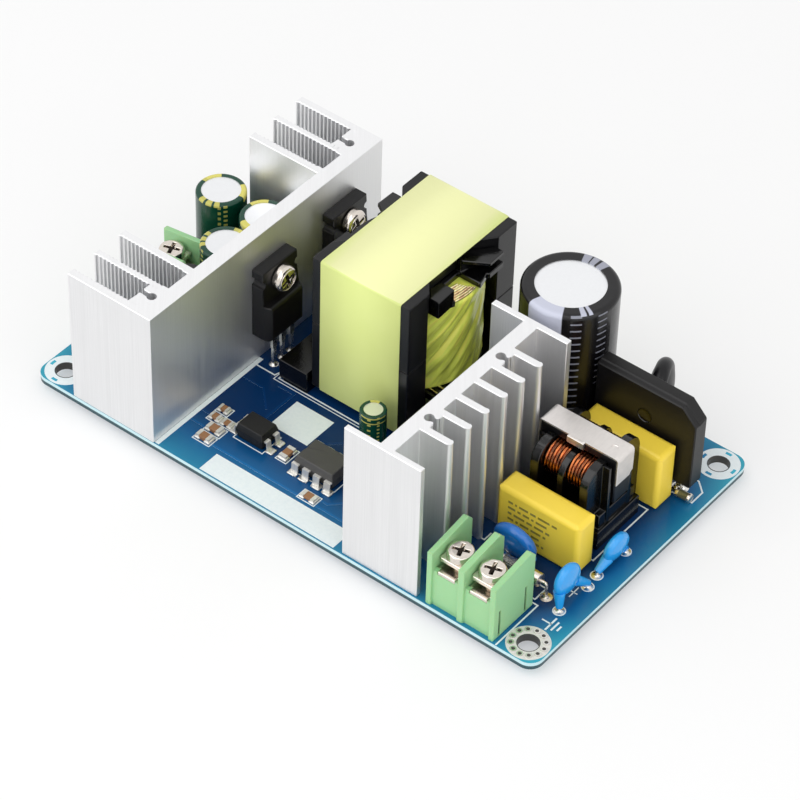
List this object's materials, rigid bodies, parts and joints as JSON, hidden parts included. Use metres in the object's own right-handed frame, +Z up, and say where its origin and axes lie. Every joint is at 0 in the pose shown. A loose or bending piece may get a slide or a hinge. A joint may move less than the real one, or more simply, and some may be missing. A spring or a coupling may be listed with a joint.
{
  "type": "open frame power supply",
  "caption": "Blue circuit board power supply with extruded heatsinks, a taped transformer, electrolytic capacitors and green screw terminals; turns mains voltage into direct current.",
  "frame": {"origin": "middle of the board's outline, at the height of the soldered lead tips that the module rests on", "axes": "+X along the board's long edge from the output side to the input side, +Y from the screw-terminal corner's front edge to the rear edge, +Z up from the board"},
  "size_m": [0.118, 0.067, 0.0376],
  "materials": {
    "board_laminate": "glossy blue solder mask",
    "solder": "bright tin",
    "extrusion": "brushed natural aluminium",
    "ferrite": "dark matt ferrite",
    "black_phenolic": "black moulded plastic",
    "winding_tape": "olive polyester tape over copper",
    "copper_wire": "enamelled copper",
    "outer_tape": "pale yellow polyester tape",
    "can_aluminium": "satin can top",
    "black_sleeve": "shrunk black sleeve",
    "green_sleeve": "shrunk green sleeve",
    "bung_rubber": "black rubber",
    "black_epoxy": "black moulding compound",
    "yellow_case": "yellow moulded case",
    "blue_coating": "sky-blue dipped coating",
    "dark_blue_coating": "blue dipped coating",
    "black_coating": "black dipped coating",
    "spring_steel": "bare spring steel",
    "green_plastic": "green moulded plastic",
    "nickel": "nickel-plated steel",
    "chip_ceramic": "fired ceramic",
    "glass_tube": "glass tube with plated ends"
  },
  "bodies": {
    "root": {"board": "board_laminate", "solder_joints": "solder", "output_heatsink": "extrusion", "input_heatsink": "extrusion", "heatsink_pins": "solder", "core_upper": "ferrite", "core_lower": "ferrite", "transformer_bobbin": "black_phenolic", "transformer_winding": "winding_tape", "transformer_strands": "copper_wire", "core_tape": "outer_tape", "transformer_pins": "solder", "bulk_can": "can_aluminium", "bulk_sleeve": "black_sleeve", "bulk_bung": "bung_rubber", "output_can_1": "can_aluminium", "output_can_2": "can_aluminium", "output_can_3": "can_aluminium", "output_sleeve_1": "green_sleeve", "output_sleeve_2": "green_sleeve", "output_sleeve_3": "green_sleeve", "supply_can": "can_aluminium", "supply_sleeve": "green_sleeve", "small_bungs": "bung_rubber", "capacitor_leads": "solder", "bridge_rectifier": "black_epoxy", "bridge_leads": "solder", "film_capacitor_front": "yellow_case", "film_capacitor_rear": "yellow_case", "film_leads": "solder", "y_capacitor_front": "blue_coating", "y_capacitor_rear": "blue_coating", "varistor": "dark_blue_coating", "inrush_disc": "black_coating", "disc_leads": "solder", "choke_core_left": "ferrite", "choke_core_right": "ferrite", "choke_bobbin": "black_phenolic", "choke_winding_front": "copper_wire", "choke_winding_rear": "copper_wire", "choke_clip": "spring_steel", "choke_pins": "solder", "input_terminal": "green_plastic", "output_terminal": "green_plastic", "terminal_contacts": "nickel", "terminal_clamps": "nickel", "terminal_screws": "nickel", "rectifier_front": "black_epoxy", "rectifier_rear": "black_epoxy", "switching_transistor": "black_epoxy", "device_legs": "solder", "device_screws": "nickel", "optocoupler": "black_epoxy", "controller_chip": "black_epoxy", "chip_legs": "solder", "chip_bodies": "chip_ceramic", "chip_ends": "solder", "fuse": "glass_tube", "output_choke": "black_epoxy", "glass_diode": "glass_tube"}
  },
  "joints": []
}
